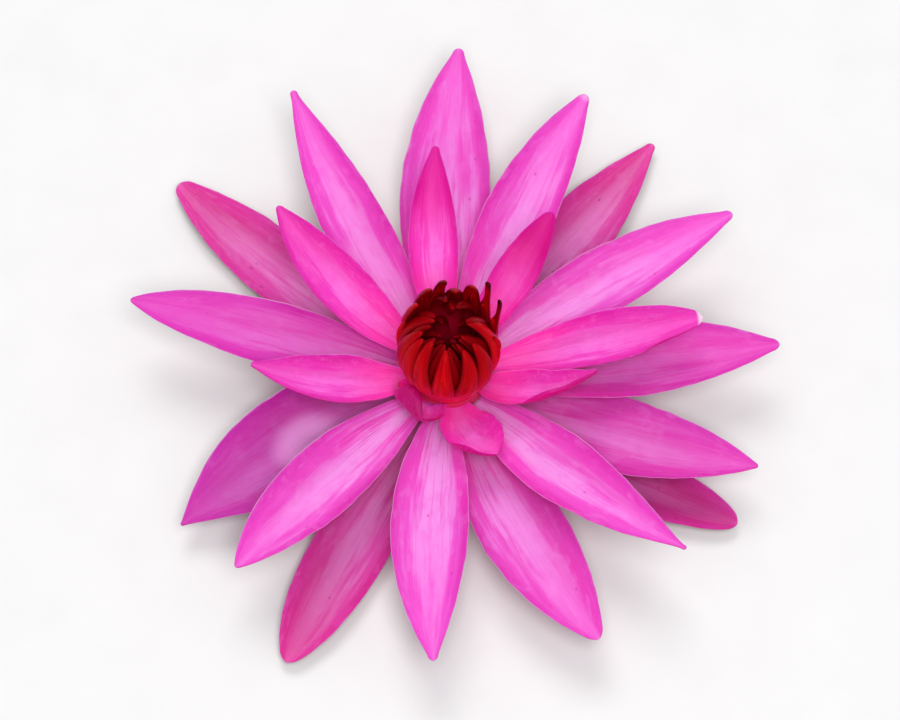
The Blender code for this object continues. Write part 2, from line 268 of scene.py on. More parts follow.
def loft(name, rings, face_slots, hollow=False):
    """Closed mesh over rings of (point, (u, v)) pairs, with a material slot a column.

    Its two ends are capped, or joined to each other if it is hollow.
    """
    bm = bmesh.new()
    layer = bm.loops.layers.uv.new("Surface")
    verts = [[bm.verts.new(Vector(point) * MM) for point, _ in ring] for ring in rings]

    def add_face(corners):
        face = bm.faces.new([verts[row][column] for row, column in corners])
        face.smooth = True
        for corner, (row, column) in zip(face.loops, corners):
            corner[layer].uv = rings[row][column][1]
        return face

    last = len(rings) - 1
    columns = range(len(rings[0]))
    for row in range(last + hollow):
        above = (row + 1) % len(rings)
        for column in columns:
            after = (column + 1) % len(columns)
            face = add_face(((row, column), (row, after), (above, after), (above, column)))
            face.material_index = face_slots[column]
    if not hollow:
        for row, order in ((0, columns[::-1]), (last, columns)):
            cap = add_face([(row, column) for column in order])
            bmesh.ops.triangulate(bm, faces=[cap])
    return add_mesh(name, bm)


def join(pieces, name):
    """One object out of several, with their places kept."""
    bpy.context.view_layer.update()
    bm = bmesh.new()
    for piece in pieces:
        piece.data.transform(piece.matrix_world)
        bm.from_mesh(piece.data)
    joined = add_mesh(name, bm)
    for piece in pieces:
        bpy.data.objects.remove(piece, do_unlink=True)
    return joined


def mark(obj, **numbers):
    """Store numbers on a mesh, for its material to read."""
    for name, number in numbers.items():
        values = obj.data.attributes.new(name, "FLOAT", "POINT")
        values.data.foreach_set("value", [number] * len(obj.data.vertices))


def dress(obj, node, materials):
    """Give a piece its materials and put it in its node's place."""
    for material in materials:
        obj.data.materials.append(material)
    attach(obj, "root")
    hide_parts(node)


# ---- materials
def srgb(red, green, blue):
    """Linear colour from the usual 0 to 255 values."""
    linear = []
    for value in (red, green, blue):
        share = value / 255
        linear.append(share / 12.92 if share <= 0.04045 else ((share + 0.055) / 1.055) ** 2.4)
    return (*linear, 1.0)


class Graph:
    """Short names for the nodes of a material."""

    def __init__(self, name):
        self.material = bpy.data.materials.new(name)
        self.material.use_nodes = True
        self.tree = self.material.node_tree
        self.shader = self.tree.nodes["Principled BSDF"]

    def node(self, kind, inputs=None, **settings):
        made = self.tree.nodes.new(kind)
        for key, value in settings.items():
            setattr(made, key, value)
        for key, value in (inputs or {}).items():
            self.feed(made.inputs[key], value)
        return made

    def feed(self, socket, value):
        if isinstance(value, bpy.types.NodeSocket):
            self.tree.links.new(value, socket)
        else:
            socket.default_value = value

    def math(self, operation, first, second=0.0):
        made = self.node("ShaderNodeMath", {0: first, 1: second}, operation=operation)
        return made.outputs[0]

    def plus(self, first, second):
        return self.math("ADD", first, second)

    def minus(self, first, second):
        return self.math("SUBTRACT", first, second)

    def times(self, first, second):
        return self.math("MULTIPLY", first, second)

    def ease(self, value, start, end, low=0.0, high=1.0):
        """value going smoothly from start to end, as low to high."""
        inputs = {0: value, 1: start, 2: end, 3: low, 4: high}
        return self.node("ShaderNodeMapRange", inputs, interpolation_type="SMOOTHSTEP").outputs[0]

    def mix(self, share, first, second, blend_type="MIX"):
        inputs = {0: share, 6: first, 7: second}
        made = self.node("ShaderNodeMix", inputs, data_type="RGBA", blend_type=blend_type)
        return made.outputs[2]

    def noise(self, vector, scale, detail=3.0, roughness=0.5):
        inputs = {"Vector": vector, "Scale": scale, "Detail": detail, "Roughness": roughness}
        return self.node("ShaderNodeTexNoise", inputs).outputs["Fac"]

    def stretched(self, along, across, seed, lengthwise, crosswise, detail):
        """Noise drawn out along the piece, and different on each one."""
        x = self.times(along, lengthwise)
        y = self.times(across, crosswise)
        return self.noise(self.vector(x, y, self.plus(seed, 0.37 * crosswise)), 1.0, detail)

    def vector(self, x, y, z):
        return self.node("ShaderNodeCombineXYZ", {0: x, 1: y, 2: z}).outputs[0]

    def along_and_across(self):
        """The surface's two coordinates: along the piece and across it."""
        surface = self.node("ShaderNodeUVMap", uv_map="Surface")
        parts = self.node("ShaderNodeSeparateXYZ", {"Vector": surface.outputs[0]})
        return parts.outputs[0], parts.outputs[1]

    def place(self):
        return self.node("ShaderNodeTexCoord").outputs["Object"]

    def number(self, name):
        """A number that the mesh holds."""
        return self.node("ShaderNodeAttribute", attribute_name=name).outputs["Fac"]

    def bump(self, height, strength, distance):
        inputs = {"Height": height, "Strength": strength, "Distance": distance}
        self.feed(self.shader.inputs["Normal"], self.node("ShaderNodeBump", inputs).outputs[0])

    def finish(self, colour, roughness, **constants):
        self.feed(self.shader.inputs["Base Color"], colour)
        self.feed(self.shader.inputs["Roughness"], roughness)
        for key, value in constants.items():
            self.shader.inputs[key.replace("_", " ")].default_value = value
        return self.material


MOTTLE_SPAN = (0.35, 0.65)  # parts of a noise's range in which a look changes
GRAIN_SPAN = (0.3, 0.7)
GRAIN_RELIEF = (0.3, 0.0002)  # strength, and height in metres
RED_FLESH = {
    "Subsurface_Radius": (1.0, 0.3, 0.3), "Specular_IOR_Level": 0.2,
    "Specular_Tint": srgb(255, 120, 110),
}


def fleshy_material(name, low, high, scales, roughness, zones=(), **constants):
    """Mottled flesh, with zones of other colours: from height, to height, colour."""
    graph = Graph(name)
    place = graph.place()
    mottle = graph.noise(place, scales[0], 5.0, 0.6)
    grain = graph.noise(place, scales[1])
    colour = graph.mix(graph.ease(mottle, *MOTTLE_SPAN), low, high)
    height = graph.node("ShaderNodeSeparateXYZ", {"Vector": place}).outputs[2]
    for start, end, tint in zones:
        colour = graph.mix(graph.ease(height, start, end), colour, tint)
    graph.bump(grain, *GRAIN_RELIEF)
    return graph.finish(
        colour, graph.ease(grain, *GRAIN_SPAN, *roughness),
        Subsurface_Weight=0.2, Subsurface_Scale=0.001, **constants,
    )


# ---- skins of the blades
# Noise drawn out along a blade: how often it changes along and across, detail
PATCHES = (5.0, 3.0, 3.0)
BLOTCHES = (16.0, 6.0, 4.0)
STREAKS = {"broad": (3.0, 6.0, 5.0), "narrow": (5.0, 19.0, 4.0), "fine": (2.5, 55.0, 2.0)}
WANDER = 0.10  # how far the streaks wander across a blade
BROAD_SHIFT = 1.7  # how far streaks push the colours' borders aside
NARROW_SHIFT = 0.9
EDGE_SHIFT = 0.28  # how much of that is left at the margins

# Where a colour sets in and is full, as shares of the half width or the length,
# some with its weakest and its strongest share
SIDE_ZONE = (0.15, 0.70)
# painted shade: the far half of a blade, turned away from the light behind, is tinted darker
FAR_HALF_SHADE = (-0.01, 0.14, 0.0, 0.45)
EDGE_ZONE = (0.58, 1.0, 0.0, 0.9)
RIM_ZONE = (0.975, 0.99)
# the root's own colour, pushed brighter and more saturated as painted light against the shade near
# the stamens
ROOT_COLOUR_AND_LIGHT = (0.46, 0.08)
TIP_ZONE = (0.40, 1.0)
DUSK_ZONE = (0.42, 0.78)
# painted highlight at the very tip of some blades, where it curls up into the light
TIP_HIGHLIGHT_ZONE = (0.97, 0.99)
# noise, where in its range a tint sets in and is full, its strength, the tint
MARKINGS = (
    ("narrow", 0.50, 0.75, 0.35, "side"),
    ("fine", 0.52, 0.75, 0.15, "margin"),
    ("blotch", 0.50, 0.70, 0.30, "side"),
    ("blotch", 0.46, 0.30, 0.14, "light"),
)
SHADE = srgb(212, 222, 232)
DUSK = srgb(226, 110, 200)
# colour of the painted tip highlight
TIP_HIGHLIGHT = srgb(255, 205, 235)

# painted highlight: a ladle-like blade's hollow is tinted paler, as lit from above
HOLLOW_PLACE = (0.42, 0.48)  # middle of a ladle's pale hollow, along and across
HOLLOW_SQUEEZE = (2.4, 1.5)
HOLLOW_EDGE = (0.42, 0.16, 0.0, 0.5)
HOLLOW_LIMIT = 0.8
VEIN_LINES = (0.60, 0.70)  # of the fine streaks
VEIN_PATCHES = (0.40, 0.58)  # of the patches
VEIN_REACH = (0.60, 0.08)  # along the blade
SPOT_CELLS = 9.0
SPOT_SQUEEZE = 3.2  # a blade's length over its width, about
SPOT_EDGE = (0.26, 0.06)
SPOT_STRENGTH = 0.5
BLADE_RELIEF = (0.5, 0.0003)  # strength, and height in metres
BLADE_ROUGHNESS = (0.36, 0.52)

SKIN_PARTS = (
    "middle", "side", "margin", "root", "root_side", "tip", "vein", "light", "rim",
    "tip_share", "rim_share", "spots", "veins",
)
# Colours of a skin's parts, how much there is of the tip's and the rim's colour,
# how many cells have a spot, and how strong the veins are
SKINS = {
    "outer petal": (
        (244, 134, 216), (234, 78, 184), (200, 30, 144), (255, 132, 208), (252, 70, 178),
        (214, 54, 160), (170, 40, 130), (248, 158, 226), (255, 190, 235), 0.6, 0.22, 0.04, 0.6,
    ),
    "middle petal": (
        (246, 140, 220), (236, 82, 192), (206, 32, 152), (255, 146, 224), (255, 72, 188),
        (220, 56, 168), (180, 34, 126), (254, 164, 230), (255, 190, 235), 0.6, 0.26, 0.03, 0.7,
    ),
    "inner petal": (
        (250, 110, 206), (240, 62, 182), (202, 20, 140), (255, 76, 174), (255, 50, 160),
        (216, 42, 150), (160, 0, 100), (255, 132, 208), (240, 90, 190), 0.6, 0.35, 0.0, 0.3,
    ),
    "petal underside": (
        (206, 40, 146), (194, 16, 124), (170, 0, 96), (220, 90, 156), (220, 90, 156),
        (160, 0, 90), (130, 0, 76), (214, 70, 160), (200, 20, 110), 0.7, 0.3, 0.03, 0.5,
    ),
    "sepal": (
        (248, 134, 206), (234, 80, 174), (198, 30, 124), (244, 118, 188), (238, 76, 166),
        (204, 26, 100), (140, 20, 96), (240, 150, 212), (200, 46, 106), 0.65, 0.6, 0.12, 0.8,
    ),
    "sepal underside": (
        (122, 34, 58), (112, 28, 48), (170, 30, 80), (104, 74, 56), (104, 74, 56),
        (110, 8, 40), (70, 10, 30), (140, 60, 70), (180, 20, 80), 0.8, 0.3, 0.1, 0.9,
    ),
}


class BladeSkin(Graph):
    """Satin petal skin: pale middle, deep margins, uneven lengthwise streaks."""

    def __init__(self, name):
        super().__init__(name)
        self.skin = dict(zip(SKIN_PARTS, SKINS[name]))
        self.colour = self.paint("middle")
        self.along, self.across = self.along_and_across()
        self.side = self.math("ABSOLUTE", self.minus(self.times(self.across, 2.0), 1.0))
        self.blade = self.number("blade")
        patch = self.streaks(self.across, PATCHES)
        course = self.plus(self.across, self.times(self.minus(patch, 0.5), WANDER))
        self.noises = {"patch": patch, "blotch": self.streaks(self.across, BLOTCHES)}
        for key, pattern in STREAKS.items():
            self.noises[key] = self.streaks(course, pattern)

    def streaks(self, course, pattern):
        return self.stretched(self.along, course, self.blade, *pattern)

    def paint(self, part):
        return srgb(*self.skin[part])

    def tint(self, share, part):
        """Bring the colour nearer to one of the skin's paints."""
        self.colour = self.mix(share, self.colour, self.paint(part))

    def add_zones(self):
        """Deep margins, a root coloured partly as painted light, a deep tip round the pale middle,
        and painted shade on the far half.
        """
        broad = self.times(self.minus(self.noises["broad"], 0.5), BROAD_SHIFT)
        narrow = self.times(self.minus(self.noises["narrow"], 0.5), NARROW_SHIFT)
        shift = self.plus(broad, narrow)
        aside = self.ease(self.plus(self.side, shift), *SIDE_ZONE)
        self.tint(aside, "side")
        # painted shade on the far half of the blade, which faces away from the light behind
        far_half_shade = self.times(self.minus(self.across, 0.5), self.number("far"))
        self.tint(self.ease(far_half_shade, *FAR_HALF_SHADE), "margin")
        edge = self.plus(self.side, self.times(shift, EDGE_SHIFT))
        self.tint(self.ease(edge, *EDGE_ZONE), "margin")
        # root colours: the blade's own base colour, brightened further as painted light
        root = self.mix(aside, self.paint("root"), self.paint("root_side"))
        self.colour = self.mix(self.ease(self.along, *ROOT_COLOUR_AND_LIGHT), self.colour, root)
        self.tint(self.ease(self.along, *TIP_ZONE, 0.0, self.skin["tip_share"]), "tip")

    def add_markings(self):
        """Streaks and blotches, and the tone, shade and dusk of the single blade."""
        for key, start, end, strength, part in MARKINGS:
            self.tint(self.ease(self.noises[key], start, end, 0.0, strength), part)
        self.tint(self.number("tone"), "margin")
        self.colour = self.mix(self.number("shade"), self.colour, SHADE, "MULTIPLY")
        dusk = self.times(self.ease(self.along, *DUSK_ZONE), self.number("dusk"))
        self.colour = self.mix(dusk, self.colour, DUSK, "MULTIPLY")

    def add_hollow_highlight(self):
        """The deep hollow of a ladle-like blade gets a painted highlight, as lit from above."""
        far = self.times(self.minus(self.along, HOLLOW_PLACE[0]), HOLLOW_SQUEEZE[0])
        aside = self.times(self.minus(self.across, HOLLOW_PLACE[1]), HOLLOW_SQUEEZE[1])
        spread = self.math("SQRT", self.plus(self.times(far, far), self.times(aside, aside)))
        hollow = self.times(self.ease(spread, *HOLLOW_EDGE), self.number("ladle"))
        self.tint(self.math("MINIMUM", hollow, HOLLOW_LIMIT), "light")

    def add_veins(self):
        """Thin dark veins, strongest towards the root."""
        lines = self.ease(self.noises["fine"], *VEIN_LINES)
        vein = self.times(lines, self.ease(self.along, *VEIN_REACH, 0.0, self.skin["veins"]))
        self.tint(self.times(vein, self.ease(self.noises["patch"], *VEIN_PATCHES)), "vein")

    def add_spots(self):
        """A few small dark spots."""
        place = self.vector(self.times(self.along, SPOT_SQUEEZE), self.across, self.blade)
        inputs = {"Vector": place, "Scale": SPOT_CELLS, "Randomness": 1.0}
        cells = self.node("ShaderNodeTexVoronoi", inputs).outputs
        pick = self.node("ShaderNodeSeparateColor", {"Color": cells["Color"]}).outputs[0]
        chosen = self.math("GREATER_THAN", pick, 1 - self.skin["spots"])
        spot = self.times(self.ease(cells["Distance"], *SPOT_EDGE), chosen)
        self.tint(self.times(spot, SPOT_STRENGTH), "vein")

    def add_thin_ends(self):
        """The very edge is thin and lets light through; some tips get a painted highlight."""
        self.tint(self.ease(self.side, *RIM_ZONE, 0.0, self.skin["rim_share"]), "rim")
        # painted highlight on the curled-up tip of some blades
        tip = self.times(self.ease(self.along, *TIP_HIGHLIGHT_ZONE), self.number("pale"))
        self.colour = self.mix(tip, self.colour, TIP_HIGHLIGHT)


def blade_material(name):
    skin = BladeSkin(name)
    skin.add_zones()
    skin.add_markings()
    skin.add_hollow_highlight()
    skin.add_veins()
    skin.add_spots()
    skin.add_thin_ends()
    streaks = skin.plus(skin.noises["narrow"], skin.noises["broad"])
    skin.bump(skin.plus(skin.times(skin.noises["fine"], 0.5), streaks), *BLADE_RELIEF)
    return skin.finish(
        skin.colour, skin.ease(skin.noises["patch"], *GRAIN_SPAN, *BLADE_ROUGHNESS),
        Subsurface_Weight=0.7, Subsurface_Radius=(1.0, 0.4, 0.75), Subsurface_Scale=0.004,
        Specular_IOR_Level=0.3, Specular_Tint=srgb(255, 190, 240),
    )


# ---- blades
def outline(share, swell, taper, root):
    """Half width of a blade over its greatest half width, root to tip."""
    peak = (swell - taper * OUTLINE_START) / (swell + taper)
    height = (peak + OUTLINE_START) ** swell * (1 - peak) ** taper
    width = (share + OUTLINE_START) ** swell * (1 - share) ** taper / height
    near_root = max(0.0, 1 - share / ROOT_ZONE) ** 2
    return width * (1 - near_root) + max(width, root) * near_root


def blade_course(seat_height, azimuth, reach, tip_height, bend, sweep):
    """Heading, rise and length of the arc that ends at the named tip."""
    half_sweep = radians(sweep) / 2
    turn = cos(half_sweep)
    chord = -SEAT_RADIUS * turn + sqrt(reach ** 2 - (SEAT_RADIUS * sin(half_sweep)) ** 2)
    drift = atan2(chord * sin(half_sweep), SEAT_RADIUS + chord * turn)
    heading = radians(azimuth) - drift
    climb = atan2(tip_height - seat_height, chord)
    half_bend = radians(bend) / 2
    length = hypot(chord, tip_height - seat_height)
    for half in (half_bend, half_sweep):
        if half:
            length *= half / sin(half)
    return heading, climb + half_bend, length


def yaw_at(share, sweep, veer):
    """Sideways turn of the midrib: an even sweep, and a veer near the root."""
    return radians(sweep * share + veer * smooth_step(share / VEER_ZONE))


def walk_midrib(rise, length, bend, sweep, veer):
    """Points along the midrib, which starts at its own origin."""
    points = [Vector((0.0, 0.0, 0.0))]
    step = length / PATH_STEPS
    for index in range(PATH_STEPS):
        share = (index + 0.5) / PATH_STEPS
        slope = rise - radians(bend) * share
        yaw = yaw_at(share, sweep, veer)
        level = cos(slope)
        heading = Vector((cos(yaw) * level, sin(yaw) * level, sin(slope)))
        points.append(points[-1] + step * heading)
    return points


def section_tilt(side, lean, curl):
    """Slope of the upper face at one side: a soft V whose margin turns in."""
    margin = max(0.0, side - CURL_START) / (1 - CURL_START)
    return lean * (1 + FOLD) / 2 * side ** FOLD + curl * margin ** 2


def half_section(half, lean, curl):
    """Upper face from the midrib to one margin: (side, out, lift, tilt)."""
    sides = crowded(HALF_COLUMNS, COLUMN_CROWDING)
    points = [(0.0, 0.0, 0.0, 0.0)]
    out = lift = 0.0
    for before, side in zip(sides, sides[1:]):
        tilt = section_tilt((before + side) / 2, lean, curl)
        out += half * (side - before) * cos(tilt)
        lift += half * (side - before) * sin(tilt)
        points.append((side, out, lift, section_tilt(side, lean, curl)))
    return points


def section(half, leans, curls):
    """Upper face of one section, from the right margin to the left one."""
    right = half_section(half, leans[0], curls[0])
    left = half_section(half, leans[1], curls[1])
    points = [(-side, -out, lift, -tilt) for side, out, lift, tilt in reversed(right)]
    return points + left[1:]


def margin_curls(finish, share):
    """Turn-in of the right and left margins, in radians."""
    start, end = finish.get("stretch", (0.0, 1.0))
    inside = min(1.0, max(0.0, (share - start) / (end - start)))
    curl = finish.get("curl", 0.0) * sin(pi * inside ** CURL_EASE)
    usual = MARGIN_CURL * sin(pi * share)
    return radians(usual + curl), radians(usual)


def tip_cap(distance, radius, stretch=1.0):
    """Half width of a round or drawn-out tip, at a distance from its end."""
    inward = 1 - min(1.0, distance / (stretch * radius))
    return radius * sqrt(1 - inward * inward)


def blade_thickness(side, share):
    """Thick along the midrib, thin and rounded at the margins."""
    body = MARGIN_THINNESS + (1 - MARGIN_THINNESS) * (1 - side * side)
    body = BLADE_THICKNESS * body * (1 - TIP_THINNING * share * share)
    return body * sqrt(max(0.0, 1 - abs(side) ** MARGIN_SHARPNESS))


def rib_height(side, phases, share):
    """Uneven lengthwise ribs that fade out towards the margins and the tip."""
    height = 0.0
    for (count, size), phase in zip(RIBS, phases):
        height += size * cos(count * pi * side + phase)
    return height * (1 - side * side) * min(1.0, RIB_END * (1 - share))


def waved(lift, side, share, phase, ladle, number):
    """Height of the upper face with its waves, its swelling and its hollow."""
    swing = WAVE_HEIGHT * sin(pi * share)
    lift += swing * side ** 4 * sin(tau * WAVES * share + phase)
    spot = Vector((SWELLS[0] * share, SWELLS[1] * side, number))
    lift += SWELLING * noise.noise(spot) * sin(pi * share)
    along = (share - LADLE_PLACE) / LADLE_REACH[0]
    return lift - ladle * exp(-along ** 2 - (side / LADLE_REACH[1]) ** 2)


def raggedness(side, share, number):
    """How much wider a blade is here, over its usual width."""
    spot = Vector((RAGS[0] * share, copysign(RAGS[1], side), number))
    return 1 + RAGGED * side * side * noise.noise(spot)


def both_faces(out, lift, tilt, depths, roll, axes, follow):
    """Points of the upper and the lower face, whose root follows the drum."""
    centre, across, up = axes
    points = []
    for depth in depths:
        x = out - depth * sin(tilt)
        z = lift + depth * cos(tilt)
        turned_out = x * cos(roll) - z * sin(roll)
        turned_up = x * sin(roll) + z * cos(roll)
        point = centre + across * turned_out + up * turned_up
        near = min(abs(point.y), WALL_LIMIT * SEAT_RADIUS)
        wall = SEAT_RADIUS - sqrt(SEAT_RADIUS ** 2 - near ** 2)
        point.x -= follow * wall + ROOT_REACH * follow
        points.append(point)
    return points


def blade_rings(row, cup, number, draw):
    """Heading of a blade, and its sections in its own frame."""
    name, seat_height, azimuth, reach, tip_height, width, bend, sweep, taper = row
    special = SPECIAL.get(name, {})
    cup = special.get("cup", cup)
    swell = special.get("swell", SWELL)
    root = special.get("root", ROOT_WIDTH_SHARE)
    lopsided = special.get("lopsided", 0)
    finish = FINISH.get(name, {})
    tip = finish.get("tip", TIP_ROUND)
    veer = finish.get("veer", 0.0)
    ladle = finish.get("ladle", 0.0)
    heading, rise, length = blade_course(seat_height, azimuth, reach, tip_height, bend, sweep)
    length *= finish.get("length", 1.0)
    midrib = walk_midrib(rise, length, bend, sweep, veer)
    wave_phases = [draw.uniform(0, tau) for _ in range(2)]
    rib_phases = [draw.uniform(0, tau) for _ in RIBS]
    rings = []
    for share in crowded(BLADE_ROWS, ROW_CROWDING):
        slope = rise - radians(bend) * share
        yaw = yaw_at(share, sweep, veer)
        roll = radians(special.get("roll", 0) + special.get("twist", 0) * share)
        roll += radians(finish.get("roll", 0) * sin(pi / 2 * share))
        place = share * PATH_STEPS
        below = min(int(place), PATH_STEPS - 1)
        steep = sin(slope)
        axes = (
            midrib[below].lerp(midrib[below + 1], place - below),
            Vector((-sin(yaw), cos(yaw), 0.0)),
            Vector((-cos(yaw) * steep, -sin(yaw) * steep, cos(slope))),
        )
        cap = tip_cap(length * (1 - share) + TIP_GAP, tip)
        half = ((width / 2 * outline(share, swell, taper, root)) ** 3 + cap ** 3) ** (1 / 3)
        half *= (cap / tip) ** TIP_BLUNTNESS * finish.get("width", 1.0)
        lean = radians(blend(cup, share))
        leans = (lean * (1 - lopsided), lean * (1 + lopsided))
        follow = max(0.0, 1 - share / ROOT_FOLLOW)

        upper = []
        lower = []
        for side, out, lift, tilt in section(half, leans, margin_curls(finish, share)):
            lift = waved(lift, side, share, wave_phases[side > 0], ladle, number)
            out *= raggedness(side, share, number)
            rib = rib_height(side, rib_phases, share)
            depths = (rib, rib - blade_thickness(side, share) * cap / tip)
            above, beneath = both_faces(out, lift, tilt, depths, roll, axes, follow)
            upper.append((above, (share, (side + 1) / 2)))
            lower.append((beneath, (share, (side + 1) / 2)))
        rings.append(upper + lower[-2:0:-1])
    return heading + radians(finish.get("turn", 0)), rings


def make_blade(row, cup, materials, number, draw):
    name, seat_height, azimuth = row[:3]
    heading, rings = blade_rings(row, cup, number, draw)
    columns = 2 * HALF_COLUMNS
    blade = loft(f"{name}_look", rings, [0] * columns + [1] * columns)
    seat = (SEAT_RADIUS * cos(heading), SEAT_RADIUS * sin(heading), seat_height)
    blade.location = [value * MM for value in seat]
    blade.rotation_euler = (0.0, 0.0, heading)
    # far sets which half of the blade gets painted shade, and how much
    mark(blade, blade=BLADE_SEED_STEP * number, far=cos(radians(azimuth)))
    finish = FINISH.get(name, {})
    mark(blade, **{key: finish.get(key, 0.0) for key in SKIN_MARKS})
    dress(blade, name, materials)


def make_blades():
    under = blade_material("petal underside")
    whorls = (
        (SEPALS, CUP_SEPAL, "sepal", "sepal", blade_material("sepal underside")),
        (OUTER_PETALS, CUP_OUTER, "petal_outer", "outer petal", under),
        (MIDDLE_PETALS, CUP_MIDDLE, "petal_middle", "middle petal", under),
        (INNER_PETALS, CUP_INNER, "petal_inner", "inner petal", under),
    )
    draw = random.Random(DETAIL_SEED)
    number = 0
    for rows, cup, slot, skin, lower in whorls:
        materials = (blade_material(skin), lower)
        for row in rows:
            number += 1
            make_blade(row, cup, materials, number, draw)


# ---- stamens
STRAP_ROWS = 40
STRAP_COLUMNS = 6  # from its middle to its margin
STRAP_CROWDING = 0.7
STRAP_OVERLAP = 1.2  # straps here are this much wider than the solid's
STRAP_CROWN = 0.13  # how far a strap's middle stands out, over its width
CROWN_ZONE = (0.15, 0.5)  # where along it that sets in and is full
INNER_CROWN = 0.5  # how much of it the inner face has
STRAP_TUCK = 0.35  # one margin lies this much under its neighbour
STRAP_SINK = 0.8  # how deep the straps' feet lie in the fused base
SINK_END = 0.5  # share of the length up to which they do
STRAP_SHARPNESS = 6  # of a strap's rounded margins
STRAP_THINNING = 0.25  # how much thinner a strap's tip is than its root
# Where a strap starts to narrow, in what length, and by how much
BROAD_END = (0.55, 0.45, 0.45)
FINGER_END = (0.40, 0.36, 0.78)
STRAP_TIP_GAP = 0.02
STRAP_TIPS = (4.5, 1.2)  # length of a broad tip and of a finger's
STRAP_EDGE_TIP = 1.6  # length in which a tip thins
STRAP_SEED_STEP = 2.3
SLOPE_STEP = 0.01  # over which a strap's slope is measured
BELLY = (0.58, 0.955, 0.79)  # pulls on a strap's course, over its whorl's pull
WIDE_MOUTH = (6.0, 10.0)  # tips further out than this stand upright
# Outer straps: azimuth, azimuth of the tip, its radius and height, and how
# slender and dark it is
OUTER_STRAPS = (
    (-4, 2, 8.3, 36.0, 0.0),
    (19, 25, 13.6, 43.5, 0.96),
    (40, 44, 13.2, 46.5, 0.88),
    (64, 57, 10.4, 44.5, 0.1),
    (87, 79, 8.3, 42.5, 0.2),
    (109, 96, 9.6, 45.6, 0.6),
    (132, 119, 9.4, 43.5, 0.1),
    (156, 144, 9.2, 41.0, 0.0),
    (179, 147, 3.9, 39.0, 0.2),
    (-160, -175, 6.2, 38.5, 0.0),
    (-139, -160, 6.4, 38.0, 0.0),
    (-118, -142, 4.6, 38.5, 0.1),
    (-97, -98, 4.2, 36.0, 0.0),
    (-75, -50, 5.4, 36.0, 0.0),
    (-51, -25, 6.4, 36.5, 0.0),
    (-27, 20, 4.7, 39.0, 0.2),
)
# Inner whorls: how much further their tips lean in, and how much painted shade darkens them inside
# the barrel
INNER_WHORLS = ((1.8, 0.55), (3.0, 0.75))
INNER_MOUTH = 0.9  # least radius of an inner tip
# How much the inner straps vary
TURN_SCATTER = 4.0
LEAN_SCATTER = 16.0
MOUTH_SCATTER = 0.8
WIDTH_SCATTER = (0.9, 1.3)
SLENDER_SCATTER = (0.0, 0.3)
# Fused base: share of the straps' height, and how far out from their middles
FUSED_BASE = (
    (-0.05, -0.8), (-0.05, 0.3), (-0.03, 0.9), (0.02, 1.2), (0.06, 1.25), (0.10, 1.2),
    (0.16, 1.1), (0.22, 1.0), (0.28, 1.05), (0.34, 1.2), (0.40, 1.35), (0.45, 1.45),
    (0.50, 1.5), (0.55, 1.5), (0.60, 1.4), (0.65, 1.2), (0.70, 0.9), (0.74, 0.5),
    (0.76, 0.0), (0.73, -0.5), (0.60, -0.7), (0.40, -0.8), (0.20, -0.8),
)
BASE_FACETS = 288
GROOVES = (-0.05, 0.75)  # where grooves between the straps start and are deepest
GROOVE_DEPTH = 1.0
NOTCH = 0.38  # how much lower the base's rim is between the straps
NOTCH_ZONE = (0.3, 0.75)  # where on the base that sets in and is full
COLLAR_FACETS = 96

# what a tint follows, where it sets in and is full, its strength, its colour
STRAP_TINTS = (
    ("tone", 0.35, 0.6, 0.55, (134, 0, 10)),
    # painted highlight and shade: a strap's crowned middle stays bright and its sides are darkened
    ("side", 0.26, 0.5, 0.7, (110, 0, 8)),
    ("along", 0.64, 0.30, 0.85, (244, 18, 68)),
    ("along", 0.6, 1.0, 0.5, (120, 0, 8)),
)
STRAP_STREAKS = (2.0, 7.0, 4.0)
STRAP_ROUGHNESS = (0.32, 0.44)
DARK_END = (0.84, 0.96)  # where the near-black end of a finger sets in


def stamen_material():
    """Saturated red straps with a bright base, a painted highlight down the middle of each and
    painted shade at its sides and on the inner whorls; some have near-black tips.
    """
    graph = Graph("stamen strap")
    along, across = graph.along_and_across()
    strap = graph.number("blade")
    streak = graph.stretched(along, across, strap, *STRAP_STREAKS)
    places = {
        "along": along,
        # distance from the strap's middle, for the painted highlight and shade across it
        "side": graph.math("ABSOLUTE", graph.minus(across, 0.5)),
        "tone": graph.noise(graph.vector(0.0, 0.0, strap), 1.7, 0.0),
    }
    colour = graph.mix(graph.ease(streak, 0.35, 0.7), srgb(190, 0, 14), srgb(236, 10, 26))
    for key, start, end, strength, tint in STRAP_TINTS:
        share = graph.ease(places[key], start, end, 0.0, strength)
        colour = graph.mix(share, colour, srgb(*tint))
    # painted shade on the inner whorls, deep inside the barrel
    colour = graph.mix(graph.number("deep"), colour, srgb(104, 0, 8))
    dark = graph.times(graph.ease(along, *DARK_END), graph.number("dark"))
    colour = graph.mix(dark, colour, srgb(46, 0, 8))
    graph.bump(streak, *GRAIN_RELIEF)
    return graph.finish(
        colour, graph.ease(streak, *GRAIN_SPAN, *STRAP_ROUGHNESS),
        Subsurface_Weight=0.2, Subsurface_Radius=(1.0, 0.1, 0.1), Subsurface_Scale=0.0015,
        Specular_IOR_Level=0.3, Specular_Tint=srgb(255, 70, 50),
    )


def barrel_height(around):
    """Height of the barrel's rim, which is lower at the front."""
    back = (1 + sin(around)) / 2
    return BARREL_TOP - FRONT_DROP * (1 - back)


def narrowed(share, start, length, loss):
    return 1 - loss * smooth_step((share - start) / length)


def strap_width(share, width, slender):
    """Width of a strap: broad with a pointed end, or with a slender finger."""
    root_loss = STRAP_ROOT_NARROWING * (1 - share) ** 2
    end = lerp(narrowed(share, *BROAD_END), narrowed(share, *FINGER_END), slender)
    return width * STRAP_OVERLAP * (1 - root_loss) * end


def strap_radius(share, course):
    """Distance of a strap's middle from the axis."""
    root_radius, pull, mouth = course
    rest = 1 - share
    upright = smooth_step(mouth, *WIDE_MOUTH)
    lower = 3 * rest * rest * share * pull * BELLY[0]
    upper = 3 * rest * share * share * pull * lerp(BELLY[1], BELLY[2], upright)
    return root_radius * rest ** 3 + lower + upper + mouth * share ** 3


